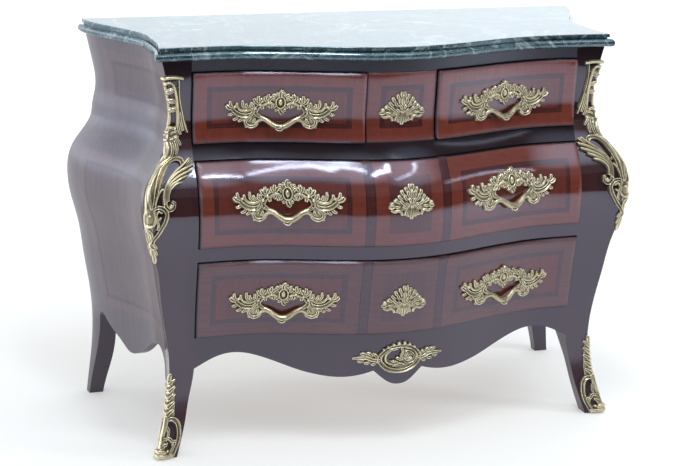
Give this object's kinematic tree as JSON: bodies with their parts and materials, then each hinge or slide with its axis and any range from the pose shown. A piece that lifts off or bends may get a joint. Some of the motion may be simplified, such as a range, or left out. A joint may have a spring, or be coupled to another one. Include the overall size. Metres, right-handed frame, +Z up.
{
  "type": "bombe chest of drawers",
  "caption": "Bombe chest with a serpentine front, short drawers over long drawers, moulded marble top, splayed legs and scrolled gilt mounts.",
  "frame": {"origin": "on the floor, under the middle of the whole chest", "axes": "+X to the right as seen from the front, +Y to the back, +Z up"},
  "size_m": [1.2666, 0.546, 0.884],
  "materials": {
    "veneer": "high-gloss lacquered rosewood veneer with dark banding",
    "carcass_veneer": "high-gloss lacquered dark veneer",
    "secondary_wood": "planed, unfinished",
    "plywood": "sanded, unfinished",
    "marble": "polished green marble",
    "gilt": "gilt brass, dark in the recesses",
    "steel": "bright zinc"
  },
  "bodies": {
    "chest": {"apron_mount": "gilt", "back_panel": "plywood", "back_panel_screws": "steel", "bottom_drawer_runners": "secondary_wood", "bottom_rail": "secondary_wood", "centre_escutcheon": "gilt", "centre_panel": "veneer", "frieze_rail": "carcass_veneer", "front_apron": "carcass_veneer", "front_left_post": "carcass_veneer", "front_right_post": "carcass_veneer", "left_lower_corner_mount": "gilt", "left_sabot": "gilt", "left_side_panel": "carcass_veneer", "left_upper_corner_mount": "gilt", "lower_rail": "carcass_veneer", "marble_top": "marble", "middle_drawer_runners": "secondary_wood", "rear_left_post": "carcass_veneer", "rear_rails": "secondary_wood", "rear_right_post": "carcass_veneer", "right_lower_corner_mount": "gilt", "right_sabot": "gilt", "right_side_panel": "carcass_veneer", "right_upper_corner_mount": "gilt", "sub_top": "secondary_wood", "top_drawer_runners": "secondary_wood", "upper_rail": "carcass_veneer"},
    "top_left_drawer": {"top_left_drawer_back": "secondary_wood", "top_left_drawer_bottom": "plywood", "top_left_drawer_front": "veneer", "top_left_drawer_handle_bolts": "steel", "top_left_drawer_left_side": "secondary_wood", "top_left_drawer_right_side": "secondary_wood", "top_left_handle": "gilt"},
    "top_right_drawer": {"top_right_drawer_back": "secondary_wood", "top_right_drawer_bottom": "plywood", "top_right_drawer_front": "veneer", "top_right_drawer_handle_bolts": "steel", "top_right_drawer_left_side": "secondary_wood", "top_right_drawer_right_side": "secondary_wood", "top_right_handle": "gilt"},
    "middle_drawer": {"middle_drawer_back": "secondary_wood", "middle_drawer_bottom": "plywood", "middle_drawer_front": "veneer", "middle_drawer_handle_bolts": "steel", "middle_drawer_left_side": "secondary_wood", "middle_drawer_right_side": "secondary_wood", "middle_escutcheon": "gilt", "middle_left_handle": "gilt", "middle_right_handle": "gilt"},
    "bottom_drawer": {"bottom_drawer_back": "secondary_wood", "bottom_drawer_bottom": "plywood", "bottom_drawer_front": "veneer", "bottom_drawer_handle_bolts": "steel", "bottom_drawer_left_side": "secondary_wood", "bottom_drawer_right_side": "secondary_wood", "bottom_escutcheon": "gilt", "bottom_left_handle": "gilt", "bottom_right_handle": "gilt"}
  },
  "joints": [
    {"name": "top_left_drawer_slide", "type": "slide", "parent": "chest", "child": "top_left_drawer", "axis": [0, -1, 0], "range_m": [0, 0.28]},
    {"name": "top_right_drawer_slide", "type": "slide", "parent": "chest", "child": "top_right_drawer", "axis": [0, -1, 0], "range_m": [0, 0.28]},
    {"name": "middle_drawer_slide", "type": "slide", "parent": "chest", "child": "middle_drawer", "axis": [0, -1, 0], "range_m": [0, 0.3]},
    {"name": "bottom_drawer_slide", "type": "slide", "parent": "chest", "child": "bottom_drawer", "axis": [0, -1, 0], "range_m": [0, 0.3]}
  ]
}
